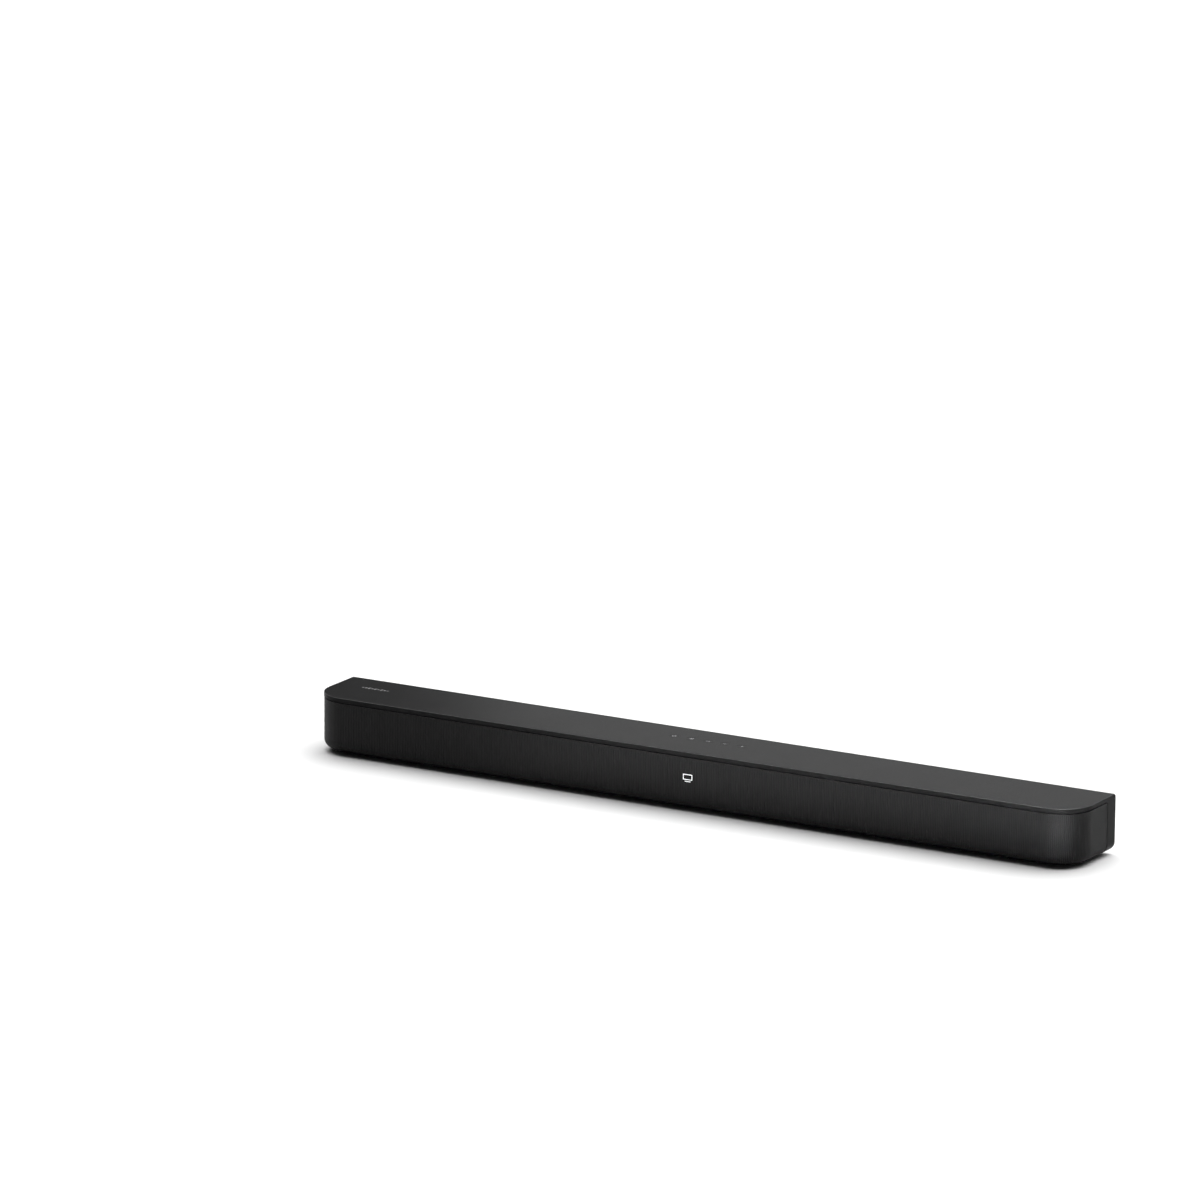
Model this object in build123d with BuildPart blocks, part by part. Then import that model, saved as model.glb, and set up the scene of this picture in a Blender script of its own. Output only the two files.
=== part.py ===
"""A slim soundbar: cabinet, wrap-round grille, two oval drivers in sealed boxes, push keys and electronics.

The frame has its origin on the floor under the middle of the bar: +X runs to the listener's right,
-Y faces the listener and +Z is up. Every size is in millimetres.
"""

import os

from build123d import *

os.makedirs("parts", exist_ok=True)

# Outside form
length = 900.0
depth = 88.0
height = 64.0
foot_height = 3.5
front_radius = 36.0
under_radius = 10.0
rear_top_radius = 4.5
rear_corner_radius = 1.2
edge_radius = 0.8

# Walls and seams
wall = 2.4
top_wall = 2.5
seam_gap = 0.2
band_height = 5.0
shadow_gap = 1.2
cheek_depth = 17.6
lip_width = 12.0
seam_radius = 4.0

# Planes that several pieces share
band_bottom = height - band_height
top_underside = height - top_wall
rear_y = depth / 2
rear_inner_y = rear_y - wall
panel_edge_x = length / 2 - 14
panel_top = band_bottom - 3
seam_y = rear_y - cheek_depth
grille_end_y = seam_y - seam_gap
grille_top = band_bottom - shadow_gap

# Skins of the front, as insets from the outside form
grille_inset = 0.3
grille_wall = 1.2
scrim_inset = grille_inset + grille_wall
scrim_wall = 0.4
frame_inset = 2.1
frame_wall = 2.2
frame_top = band_bottom - 0.1
frame_front_y = -rear_y + frame_inset
frame_back_y = frame_front_y + frame_wall

# Bottom cover, its screws and the rubber feet
cover_wall = 2.0
cover_top = foot_height + cover_wall
boss_top = cover_top + 2.0
boss_radius = 5.5
cover_screws_at = [(side * x, y) for side in (-1, 1) for x, y in
                   ((425, 10), (240, 34), (240, -26), (92, 34), (92, -26))]
post_bottom = boss_top + 0.1
post_radius = 3.6
feet_at = [(side * 380, y) for side in (-1, 1) for y in (-21, 30)]
foot_length = 34.0
foot_width = 11.0
foot_recess = 0.8

# Lugs that hang the front frame from the top cover
lugs_at = [side * x for side in (-1, 1) for x in (70, 205, 415)]
lug_y = -34.0
lug_width = 10.0
lug_thickness = 2.0

# Push keys on the top
key_pitch = 20.0
key_y = 5.0
key_radius = 5.5
key_gap = 0.2
key_names = ["power_key", "input_key", "pairing_key", "volume_down_key", "volume_up_key"]
key_flange_radius = 7.0
key_flange_top = top_underside - 0.1
key_flange_bottom = key_flange_top - 1.0
key_stem_radius = 1.6
key_stem_bottom = 57.0
legend_depth = 0.15
switch_size = 6.2
switch_height = 3.0
key_board_top = 55.4
thin_board = 1.2
key_board_screws_at = [-51.5, 51.5]

# Printed row of level bars at the left end of the top
mark_x = -402.0
mark_y = 7.0
mark_bars = [2.2, 3.6, 5.4, 3.0, 4.6, 2.4, 5.0, 3.4, 2.0]
mark_pitch = 3.75
mark_width = 1.9
mark_depth = 0.15

# Oval drivers: sizes are (width, height) of racetrack outlines
drivers_at = [-330.0, 330.0]
driver_names = ["left", "right"]
driver_z = 34.5
flange_size = (104.0, 42.0)
hole_size = (96.0, 34.0)
rim_size = (95.0, 33.0)
roll_size = (90.0, 28.0)
tub_size = (88.0, 26.0)
cone_size = (83.0, 21.0)
neck_size = (46.0, 17.5)
gasket_thickness = 2.0
flange_thickness = 1.2
surround_wall = 0.6
flange_front_y = frame_back_y + gasket_thickness
tub_wall = 1.5
tub_rear_y = flange_front_y + 13.7
cone_front_y = flange_front_y - surround_wall + 0.05
neck_y = cone_front_y + 5.0
cone_wall = 0.8
motor_y = tub_rear_y
front_plate = 3.5
magnet_thickness = 9.0
yoke_thickness = 3.5
magnet_radius = 19.0
steel_radius = 18.0
pole_radius = 7.4
coil_inner = 7.7
coil_outer = 8.0
winding_outer = 8.5
gap_radius = 8.9
spider_inner = 8.05
spider_outer = 12.6
driver_screws_at = [(x, z) for x in (-46, 46) for z in (-15, 15)]

# Sealed box behind each driver
box_width = 153.2
box_bottom = 11.5
box_top = 58.8
box_wall = 1.6
box_back_y = 27.0
seal_thickness = 1.0
lead_hole_radius = 2.5
lead_hole_z = 51.0

# Display and remote-control eye behind the grille
window_x = (-25.0, 49.0)
window_z = (27.5, 46.5)
display_x = (-22.0, 30.0)
display_z = (29.0, 45.0)
display_front_y = frame_front_y + 0.4
display_board_y = -33.0
eye_x = 41.0
lit_x = 3.7
lit_z = 36.4
lit_size = (10.8, 8.0)

# Recesses and sockets at the back
bay_x = (-70.0, 70.0)
bay_z = (16.0, 48.0)
bay_floor_y = 28.0
inlet_x = (170.0, 216.0)
inlet_z = (18.0, 48.0)
inlet_floor_y = 30.0
tray_wall = 2.0
socket_face_y = bay_floor_y + 0.5
video_x, optical_x, service_x = -38.0, 0.0, 36.0
video_size = (15.4, 6.4)
optical_size = (12.4, 12.0)
service_size = (14.4, 7.2)
inlet_body_size = (26.0, 17.0)
inlet_mouth_size = (18.6, 10.6)
pin_spacing = 8.6

# Circuit boards
board = 1.6
main_board_x = (-82.0, 82.0)
main_board_y = (-30.0, 20.0)
main_board_top = 26.0
power_board_x = (100.0, 232.0)
power_board_y = (-30.0, 20.0)
power_board_top = 13.6
board_post_radius = 3.2

# Wall hanging
keyholes_at = [-300.0, 300.0]
keyhole_z = 30.0
keyhole_radius = 5.0
keyhole_slot_radius = 2.5
keyhole_rise = 10.0


def save(piece, name):
    """Label one finished sub-part and write its STEP file."""
    piece.label = name
    export_step(piece, f"parts/{name}.step")


def middle(span):
    """The middle of a (low, high) pair."""
    return (span[0] + span[1]) / 2


def facing_back(x, y, z):
    """A plane at that point whose normal runs to the rear, with the bar's length as its own X."""
    return Plane(origin=(x, y, z), x_dir=(-1, 0, 0), z_dir=(0, 1, 0))


def block(x, y, z, mode=Mode.ADD):
    """A rectangular block between the given (low, high) limits."""
    with Locations((middle(x), middle(y), middle(z))):
        Box(x[1] - x[0], y[1] - y[0], z[1] - z[0], mode=mode)


def rods(places, bottom, top, radius, mode=Mode.ADD):
    """Upright cylinders of one size at each (x, y) place."""
    with Locations(*[(x, y, (bottom + top) / 2) for x, y in places]):
        Cylinder(radius, top - bottom, mode=mode)


def outside_form(inset, top):
    """The bar's outside, shrunk by inset: round front corners, and a round edge under the front and ends."""
    with BuildPart() as form:
        with BuildSketch(Plane.XY.offset(foot_height + inset)) as plan:
            Rectangle(length - 2 * inset, depth - 2 * inset)
            fillet(plan.vertices().group_by(Axis.Y)[0], radius=front_radius - inset)
        extrude(amount=top - foot_height - inset)
        underside = form.faces().sort_by(Axis.Z)[0].edges().sort_by(Axis.Y)[:-1]
        fillet(underside, radius=under_radius - inset)
    return form.part


def skin(inset, thickness, top):
    """A shell of the front and ends that follows the outside form, open at the top."""
    with BuildPart() as shell:
        add(outside_form(inset, top))
        add(outside_form(inset + thickness, top + 5), mode=Mode.SUBTRACT)
        add(front_zone(grille_end_y, top, seam_radius), mode=Mode.INTERSECT)
        add(underside_panel(0, -1, band_bottom / 2), mode=Mode.SUBTRACT)
    return shell.part


def front_zone(end_y, top, radius):
    """Everything ahead of the rear seam and below top, with the seam's upper corner rounded."""
    with BuildPart() as zone:
        with BuildSketch(Plane.YZ) as side:
            with Locations((end_y - 100, top - 50)):
                Rectangle(200, 100)
            fillet(side.vertices().sort_by(Axis.X)[-2:].sort_by(Axis.Y)[-1], radius=radius)
        extrude(amount=length, both=True)
    return zone.part


def underside_panel(gap, bottom, top):
    """The bottom cover's outline between two levels; gap shrinks it inside its opening."""
    front = -rear_y + lip_width + gap
    back = rear_inner_y - gap
    with BuildPart() as panel:
        with BuildSketch(Plane.XY.offset(bottom)) as plan:
            with Locations((0, (front + back) / 2)):
                Rectangle(length - 2 * lip_width - 2 * gap, back - front)
            fillet(plan.vertices().group_by(Axis.Y)[0], radius=front_radius - lip_width - gap)
        extrude(amount=top - bottom)
    return panel.part


def level_bars():
    """The printed mark: a row of bars of unequal length."""
    for i, bar in enumerate(mark_bars):
        with Locations((mark_x + (i - 4) * mark_pitch, mark_y)):
            Rectangle(mark_width, bar)


def key_legend(name):
    """The engraved sign on one key."""
    if name == "power_key":
        Circle(2.2)
        Circle(1.7, mode=Mode.SUBTRACT)
        with Locations((0, 1.9)):
            Rectangle(1.5, 1.4, mode=Mode.SUBTRACT)
            Rectangle(0.5, 2.2)
    elif name == "input_key":
        with Locations((0.9, 0)):
            Rectangle(2.8, 4.0)
            Rectangle(1.8, 3.0, mode=Mode.SUBTRACT)
        with Locations((-0.4, 0)):
            Rectangle(0.6, 1.6, mode=Mode.SUBTRACT)
        with Locations((-0.9, 0)):
            Rectangle(3.0, 0.5)
        with Locations((0.6, 0)):
            RegularPolygon(0.8, 3)
    elif name == "pairing_key":
        Circle(2.2)
        Circle(1.75, mode=Mode.SUBTRACT)
        Circle(1.3)
        Circle(0.85, mode=Mode.SUBTRACT)
        with Locations((0, 2.2), (0, -2.2)):
            Rectangle(6, 2.4, mode=Mode.SUBTRACT)
        Circle(0.45)
    else:
        Rectangle(3.6, 0.5)
        if name == "volume_up_key":
            Rectangle(0.5, 3.6)


# ---------------------------------------------------------------- cabinet

with BuildPart() as top_cover:
    add(outside_form(0, height))
    fillet(top_cover.faces().sort_by(Axis.Z)[-1].edges().sort_by(Axis.Y)[-1], radius=rear_top_radius)
    rim = top_cover.faces().filter_by(Axis.Z).sort_by(Axis.Z)[-1].edges().sort_by(Axis.Y)[:-1]
    fillet(rim, radius=edge_radius)
    add(outside_form(wall, top_underside), mode=Mode.SUBTRACT)
    add(front_zone(seam_y, band_bottom, seam_radius + seam_gap), mode=Mode.SUBTRACT)
    add(underside_panel(0, 0, foot_height + wall + 1), mode=Mode.SUBTRACT)
    # Posts that take the cover screws, and bosses for the frame lugs and the key board
    rods(cover_screws_at, post_bottom, top_underside, post_radius)
    rods(cover_screws_at, post_bottom, post_bottom + 14, 1.3, mode=Mode.SUBTRACT)
    rods([(x, lug_y) for x in lugs_at], frame_top, top_underside, 3.4)
    rods([(x, lug_y) for x in lugs_at], frame_top, top_underside - 0.4, 1.3, mode=Mode.SUBTRACT)
    rods([(x, key_y) for x in key_board_screws_at], key_board_top, top_underside, 2.8)
    rods([(x, key_y) for x in key_board_screws_at], key_board_top, top_underside - 1, 0.9, mode=Mode.SUBTRACT)
    # Key holes and the pocket of the printed mark
    key_places = [((i - 2) * key_pitch, key_y) for i in range(len(key_names))]
    rods(key_places, top_underside - 1, height + 1, key_radius + key_gap, mode=Mode.SUBTRACT)
    with BuildSketch(Plane.XY.offset(height)):
        level_bars()
    extrude(amount=-mark_depth, mode=Mode.SUBTRACT)
    # The rear wall stays as a rim, and a separate panel closes it
    block((-panel_edge_x, panel_edge_x), (rear_inner_y - 1, rear_y + 1), (0, panel_top), mode=Mode.SUBTRACT)
save(top_cover.part, "top_cover")

with BuildPart() as rear_panel:
    block((seam_gap - panel_edge_x, panel_edge_x - seam_gap), (rear_inner_y, rear_y),
          (foot_height, panel_top - seam_gap))
    # Tongues that reach up behind the rim of the cover
    for x in (-400, -260, -160, -100, 100, 160, 260, 400):
        block((x - 8, x + 8), (rear_inner_y - 2.2, rear_inner_y), (panel_top - 8, panel_top - 1))
        block((x - 8, x + 8), (rear_inner_y - 2.2, rear_inner_y - 0.1), (panel_top - 2, top_underside - seam_gap))
    for x, z in ((bay_x, bay_z), (inlet_x, inlet_z)):
        with BuildSketch(facing_back(middle(x), rear_inner_y - 1, middle(z))):
            RectangleRounded(x[1] - x[0], z[1] - z[0], 3)
        extrude(amount=wall + 2, mode=Mode.SUBTRACT)
    for x in keyholes_at:
        with BuildSketch(facing_back(x, rear_inner_y - 1, keyhole_z)):
            Circle(keyhole_radius)
            with Locations((0, keyhole_rise / 2)):
                Rectangle(2 * keyhole_slot_radius, keyhole_rise)
            with Locations((0, keyhole_rise)):
                Circle(keyhole_slot_radius)
        extrude(amount=wall + 2, mode=Mode.SUBTRACT)
    block((90, 150), (rear_y - 0.2, rear_y + 1), (20, 44), mode=Mode.SUBTRACT)
save(rear_panel.part, "rear_panel")

with BuildPart() as level_mark:
    with BuildSketch(Plane.XY.offset(height - mark_depth)):
        level_bars()
    extrude(amount=mark_depth - 0.02)
save(level_mark.part, "level_mark")

with BuildPart() as rating_label:
    block((90.3, 149.7), (rear_y - 0.2, rear_y - 0.05), (20.3, 43.7))
save(rating_label.part, "rating_label")

with BuildPart() as bottom_cover:
    add(underside_panel(seam_gap, foot_height, cover_top))
    rods(cover_screws_at, cover_top, boss_top, boss_radius)
    rods(cover_screws_at, foot_height, foot_height + 2, 3.4, mode=Mode.SUBTRACT)
    rods(cover_screws_at, foot_height, boss_top, 1.7, mode=Mode.SUBTRACT)
    with Locations(*[(x, y, foot_height + foot_recess / 2) for x, y in feet_at]):
        Box(foot_length + 0.4, foot_width + 0.4, foot_recess, mode=Mode.SUBTRACT)
    # Posts under the two large boards
    for x, y, top in ((main_board_x, main_board_y, main_board_top), (power_board_x, power_board_y, power_board_top)):
        corners = [(px, py) for px in (x[0] + 6, x[1] - 6) for py in (y[0] + 6, y[1] - 6)]
        rods(corners, cover_top, top - board, board_post_radius)
        rods(corners, top - board - 6, top - board, 1.1, mode=Mode.SUBTRACT)
save(bottom_cover.part, "bottom_cover")

with BuildPart() as cover_screws:
    rods(cover_screws_at, foot_height + 0.5, foot_height + 2, 3.0)
    rods(cover_screws_at, foot_height + 2, post_bottom + 10, 1.2)
    with Locations(*[(x, y, foot_height + 0.8) for x, y in cover_screws_at]):
        Box(3.6, 0.7, 0.6, mode=Mode.SUBTRACT)
        Box(0.7, 3.6, 0.6, mode=Mode.SUBTRACT)
save(cover_screws.part, "cover_screws")

with BuildPart() as rubber_feet:
    for x, y in feet_at:
        with BuildSketch(Plane.XY.offset(0)):
            with Locations((x, y)):
                RectangleRounded(foot_length, foot_width, 4)
        extrude(amount=foot_height + foot_recess)
    fillet(rubber_feet.faces().filter_by(Axis.Z).group_by(Axis.Z)[0].edges(), radius=1.0)
save(rubber_feet.part, "rubber_feet")

# ---------------------------------------------------------------- front skins

with BuildPart() as grille:
    add(skin(grille_inset, grille_wall, grille_top))
save(grille.part, "grille")

with BuildPart() as scrim:
    add(skin(scrim_inset, scrim_wall, grille_top))
save(scrim.part, "scrim")

with BuildPart() as front_frame:
    add(skin(frame_inset, frame_wall, frame_top))
    for x in lugs_at:
        block((x - lug_width / 2, x + lug_width / 2), (frame_back_y - 0.5, lug_y + 4.5),
              (frame_top - lug_thickness - 0.1, frame_top - 0.1))
    rods([(x, lug_y) for x in lugs_at], frame_top - 5, frame_top, 1.6, mode=Mode.SUBTRACT)
    for x in drivers_at:
        with BuildSketch(facing_back(x, frame_front_y - 1, driver_z)):
            SlotOverall(*hole_size)
            with Locations(*driver_screws_at):
                Circle(1.3)
        extrude(amount=frame_wall + 2, mode=Mode.SUBTRACT)
    block(window_x, (frame_front_y - 1, frame_back_y + 1), window_z, mode=Mode.SUBTRACT)
save(front_frame.part, "front_frame")

with BuildPart() as frame_screws:
    head_top = frame_top - lug_thickness - 0.1
    rods([(x, lug_y) for x in lugs_at], head_top - 1.4, head_top, 2.8)
    rods([(x, lug_y) for x in lugs_at], head_top, top_underside - 0.8, 1.2)
save(frame_screws.part, "frame_screws")

# ---------------------------------------------------------------- display behind the grille

with BuildPart() as status_light:
    with BuildSketch(facing_back(lit_x, -rear_y + grille_inset - 0.2, lit_z)):
        with Locations((0, 1.0)):
            Rectangle(lit_size[0], lit_size[1] - 2.0)
            Rectangle(lit_size[0] - 1.5, lit_size[1] - 3.5, mode=Mode.SUBTRACT)
        with Locations((0, -3.6)):
            Rectangle(lit_size[0] - 4.0, 0.75)
    extrude(amount=0.2)
save(status_light.part, "status_light")

with BuildPart() as display_module:
    block(display_x, (display_front_y, display_board_y), display_z)
save(display_module.part, "display_module")

with BuildPart() as remote_eye:
    with BuildSketch(facing_back(eye_x, display_front_y, lit_z)):
        RectangleRounded(8, 9, 1)
    extrude(amount=display_board_y - display_front_y)
    with BuildSketch(facing_back(eye_x, display_front_y, lit_z)):
        Circle(2.6)
    extrude(amount=1.2, mode=Mode.SUBTRACT)
save(remote_eye.part, "remote_eye")

with BuildPart() as display_board:
    block((window_x[0] - 3, window_x[1] + 3), (display_board_y, display_board_y + board), (24, 50))
save(display_board.part, "display_board")

# ---------------------------------------------------------------- push keys

with BuildPart() as key_board:
    block((-57, 57), (key_y - 12, key_y + 12), (key_board_top - thin_board, key_board_top))
    rods([(x, key_y) for x in key_board_screws_at], key_board_top - 3, key_board_top, 1.2, mode=Mode.SUBTRACT)
save(key_board.part, "key_board")

with BuildPart() as key_board_screws:
    low = key_board_top - thin_board
    rods([(x, key_y) for x in key_board_screws_at], low - 1.2, low, 2.0)
    rods([(x, key_y) for x in key_board_screws_at], low, top_underside - 2, 0.85)
save(key_board_screws.part, "key_board_screws")

with BuildPart() as key_switches:
    with Locations(*[(x, y, key_board_top + switch_height / 2) for x, y in key_places]):
        Box(switch_size, switch_size, switch_height)
    rods(key_places, key_board_top + 0.7, key_board_top + 4, key_stem_radius + 0.2, mode=Mode.SUBTRACT)
save(key_switches.part, "key_switches")

for name, (x, y) in zip(key_names, key_places):
    with BuildPart() as key:
        rods([(x, y)], key_flange_bottom, key_flange_top, key_flange_radius)
        rods([(x, y)], key_flange_top, height, key_radius)
        rods([(x, y)], key_stem_bottom, key_flange_bottom, key_stem_radius)
        crown = key.faces().filter_by(Axis.Z).sort_by(Axis.Z)[-1]
        fillet(crown.edges(), radius=0.15)
        with BuildSketch(Plane.XY.offset(height)):
            with Locations((x, y)):
                key_legend(name)
        extrude(amount=-legend_depth, mode=Mode.SUBTRACT)
    save(key.part, name)

# ---------------------------------------------------------------- drivers

with BuildPart() as driver_gaskets:
    for x in drivers_at:
        with BuildSketch(facing_back(x, frame_back_y, driver_z)):
            RectangleRounded(*flange_size, 8)
            SlotOverall(*hole_size, mode=Mode.SUBTRACT)
            with Locations(*driver_screws_at):
                Circle(1.6, mode=Mode.SUBTRACT)
        extrude(amount=gasket_thickness)
save(driver_gaskets.part, "driver_gaskets")

with BuildPart() as baskets:
    for x in drivers_at:
        with BuildSketch(facing_back(x, flange_front_y, driver_z)):
            RectangleRounded(*flange_size, 8)
            with Locations(*driver_screws_at):
                Circle(1.5, mode=Mode.SUBTRACT)
        extrude(amount=flange_thickness)
        with BuildSketch(facing_back(x, flange_front_y, driver_z)):
            SlotOverall(tub_size[0] + 2 * tub_wall, tub_size[1] + 2 * tub_wall)
        extrude(amount=tub_rear_y - flange_front_y)
        with BuildSketch(facing_back(x, flange_front_y, driver_z)):
            SlotOverall(*tub_size)
        extrude(amount=tub_rear_y - flange_front_y - tub_wall, mode=Mode.SUBTRACT)
        with BuildSketch(facing_back(x, flange_front_y, driver_z)):
            Circle(10.5)
        extrude(amount=30, mode=Mode.SUBTRACT)
        # Air windows in the long walls of the tub and in its rear plate
        for dx in (-24, -8, 8, 24):
            block((x + dx - 6, x + dx + 6), (flange_front_y + 4, tub_rear_y - 4),
                  (driver_z - 20, driver_z + 20), mode=Mode.SUBTRACT)
        with BuildSketch(facing_back(x, tub_rear_y - tub_wall - 1, driver_z)):
            with Locations((-28, 0), (28, 0)):
                RectangleRounded(12, 16, 3)
        extrude(amount=tub_wall + 2, mode=Mode.SUBTRACT)
save(baskets.part, "baskets")

with BuildPart() as motor_steel:
    for x in drivers_at:
        with BuildSketch(facing_back(x, motor_y, driver_z)):
            Circle(steel_radius)
            Circle(gap_radius, mode=Mode.SUBTRACT)
        extrude(amount=front_plate)
        with BuildSketch(facing_back(x, motor_y, driver_z)):
            Circle(pole_radius)
        extrude(amount=front_plate + magnet_thickness)
        with BuildSketch(facing_back(x, motor_y + front_plate + magnet_thickness, driver_z)):
            Circle(steel_radius)
        extrude(amount=yoke_thickness)
save(motor_steel.part, "motor_steel")

with BuildPart() as magnets:
    for x in drivers_at:
        with BuildSketch(facing_back(x, motor_y + front_plate, driver_z)):
            Circle(magnet_radius)
            Circle(gap_radius + 1.6, mode=Mode.SUBTRACT)
        extrude(amount=magnet_thickness)
    chamfer(magnets.edges().filter_by(GeomType.CIRCLE).group_by(SortBy.RADIUS)[-1], length=0.8)
save(magnets.part, "magnets")

with BuildPart() as driver_screws:
    for x in drivers_at:
        with BuildSketch(facing_back(x, flange_front_y + flange_thickness, driver_z)):
            with Locations(*driver_screws_at):
                Circle(2.6)
        extrude(amount=1.3)
        with BuildSketch(facing_back(x, frame_front_y + 0.3, driver_z)):
            with Locations(*driver_screws_at):
                Circle(1.15)
        extrude(amount=flange_front_y + flange_thickness - frame_front_y - 0.3)
save(driver_screws.part, "driver_screws")

for side, x in zip(driver_names, drivers_at):
    with BuildPart() as cone:
        for grow in (0, cone_wall):
            dish_mode = Mode.ADD if grow == 0 else Mode.SUBTRACT
            with BuildSketch(facing_back(x, cone_front_y - grow, driver_z)):
                SlotOverall(cone_size[0] - 2 * grow, cone_size[1] - 2 * grow)
            with BuildSketch(facing_back(x, neck_y - grow, driver_z)):
                SlotOverall(neck_size[0] - 2 * grow, neck_size[1] - 2 * grow)
            loft(mode=dish_mode)
        with BuildSketch(facing_back(x, neck_y - cone_wall, driver_z)):
            Circle(coil_outer + 0.6)
        dome = extrude(amount=-2.2)
        fillet(dome.faces().sort_by(Axis.Y)[0].edges(), radius=2.0)
    save(cone.part, f"{side}_cone")

    with BuildPart() as coil:
        with BuildSketch(facing_back(x, neck_y, driver_z)):
            Circle(coil_outer)
            Circle(coil_inner, mode=Mode.SUBTRACT)
        extrude(amount=motor_y + front_plate + 1.2 - neck_y)
        with BuildSketch(facing_back(x, motor_y + 0.1, driver_z)):
            Circle(winding_outer)
            Circle(coil_outer, mode=Mode.SUBTRACT)
        extrude(amount=front_plate + 0.4)
    save(coil.part, f"{side}_coil")

    # Half-roll edge between the cone and its glued rim
    with BuildPart() as surround:
        with BuildSketch(facing_back(x, flange_front_y - surround_wall, driver_z)):
            SlotOverall(*rim_size)
            SlotOverall(*roll_size, mode=Mode.SUBTRACT)
        extrude(amount=surround_wall)
        roll_y = flange_front_y - surround_wall
        roll_at = driver_z + (roll_size[1] + cone_size[1]) / 4
        with BuildLine(Plane(origin=(x, roll_y, driver_z), x_dir=(1, 0, 0), z_dir=(0, -1, 0))) as path:
            straight = (cone_size[0] - cone_size[1]) / 2
            reach = (roll_size[1] + cone_size[1]) / 4
            top_line = Line((0, reach), (straight, reach))
            right_end = RadiusArc((straight, reach), (straight, -reach), reach)
            low_line = Line((straight, -reach), (-straight, -reach))
            left_end = RadiusArc((-straight, -reach), (-straight, reach), reach)
            Line((-straight, reach), (0, reach))
        with BuildSketch(Plane(origin=(x, roll_y, roll_at), x_dir=(0, 0, 1), z_dir=(1, 0, 0))) as arch:
            Circle(2.05)
            Circle(2.05 - surround_wall, mode=Mode.SUBTRACT)
            with Locations((0, -5)):
                Rectangle(10, 10, mode=Mode.SUBTRACT)
        sweep(path=path.wire(), transition=Transition.ROUND)
    save(surround.part, f"{side}_surround")

    with BuildPart() as spider:
        with BuildSketch(facing_back(x, tub_rear_y - tub_wall - 0.5, driver_z)):
            Circle(spider_outer)
            Circle(spider_inner, mode=Mode.SUBTRACT)
        extrude(amount=0.4)
    save(spider.part, f"{side}_spider")

# ---------------------------------------------------------------- sealed boxes

with BuildPart() as box_seals:
    for x in drivers_at:
        with BuildSketch(facing_back(x, frame_back_y, (box_bottom + box_top) / 2)):
            Rectangle(box_width, box_top - box_bottom)
            Rectangle(box_width - 2 * box_wall, box_top - box_bottom - 2 * box_wall, mode=Mode.SUBTRACT)
        extrude(amount=seal_thickness)
    add(outside_form(frame_inset + frame_wall, height), mode=Mode.INTERSECT)
save(box_seals.part, "box_seals")

with BuildPart() as speaker_boxes:
    for x in drivers_at:
        inner = 1 if x < 0 else -1
        block((x - box_width / 2, x + box_width / 2), (frame_back_y + seal_thickness, box_back_y),
              (box_bottom, box_top))
        block((x - box_width / 2 + box_wall, x + box_width / 2 - box_wall),
              (frame_back_y, box_back_y - box_wall), (box_bottom + box_wall, box_top - box_wall),
              mode=Mode.SUBTRACT)
        # Lead hole in the wall that faces the boards
        with BuildSketch(Plane(origin=(x + inner * box_width / 2, 0, lead_hole_z), z_dir=(1, 0, 0))):
            Circle(lead_hole_radius)
        extrude(amount=5, both=True, mode=Mode.SUBTRACT)
save(speaker_boxes.part, "speaker_boxes")

with BuildPart() as damping_pads:
    for x in drivers_at:
        block((x - 60, x + 60), (box_back_y - box_wall - 8, box_back_y - box_wall - 0.1), (16, 54))
save(damping_pads.part, "damping_pads")

# ---------------------------------------------------------------- rear recesses and sockets

with BuildPart() as cable_bay:
    block((bay_x[0] - tray_wall, bay_x[1] + tray_wall), (bay_floor_y - tray_wall, rear_inner_y - 0.1),
          (bay_z[0] - tray_wall, bay_z[1] + tray_wall))
    block(bay_x, (bay_floor_y, rear_y), bay_z, mode=Mode.SUBTRACT)
    for x, size in ((video_x, video_size), (optical_x, optical_size), (service_x, service_size)):
        z = main_board_top + size[1] / 2
        block((x - size[0] / 2 - 0.15, x + size[0] / 2 + 0.15), (bay_floor_y - 5, bay_floor_y + 1),
              (z - size[1] / 2 - 0.15, z + size[1] / 2 + 0.15), mode=Mode.SUBTRACT)
save(cable_bay.part, "cable_bay")

with BuildPart() as inlet_bay:
    block((inlet_x[0] - tray_wall, inlet_x[1] + tray_wall), (inlet_floor_y - tray_wall, rear_inner_y - 0.1),
          (inlet_z[0] - tray_wall, inlet_z[1] + tray_wall))
    block(inlet_x, (inlet_floor_y, rear_y), inlet_z, mode=Mode.SUBTRACT)
    block((middle(inlet_x) - 11.2, middle(inlet_x) + 11.2), (inlet_floor_y - 5, inlet_floor_y + 1),
          (middle(inlet_z) - 7.2, middle(inlet_z) + 7.2), mode=Mode.SUBTRACT)
save(inlet_bay.part, "inlet_bay")

with BuildPart() as video_socket:
    z = main_board_top + video_size[1] / 2
    with BuildSketch(facing_back(video_x, 14, z)):
        Rectangle(*video_size)
        chamfer(vertices().group_by(Axis.Y)[0], length=1.6)
    extrude(amount=socket_face_y - 14)
    with BuildSketch(facing_back(video_x, socket_face_y, z)):
        Rectangle(video_size[0] - 1.2, video_size[1] - 1.2)
        chamfer(vertices().group_by(Axis.Y)[0], length=1.5)
        Rectangle(video_size[0] - 4.4, 1.2, mode=Mode.SUBTRACT)
    extrude(amount=-11, mode=Mode.SUBTRACT)
save(video_socket.part, "video_socket")

with BuildPart() as optical_socket:
    z = main_board_top + optical_size[1] / 2
    with BuildSketch(facing_back(optical_x, 10, z)):
        Rectangle(*optical_size)
    extrude(amount=socket_face_y - 10)
    with BuildSketch(facing_back(optical_x, socket_face_y, z)):
        Rectangle(8.4, 8.4)
    extrude(amount=-9, mode=Mode.SUBTRACT)
save(optical_socket.part, "optical_socket")

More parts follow.
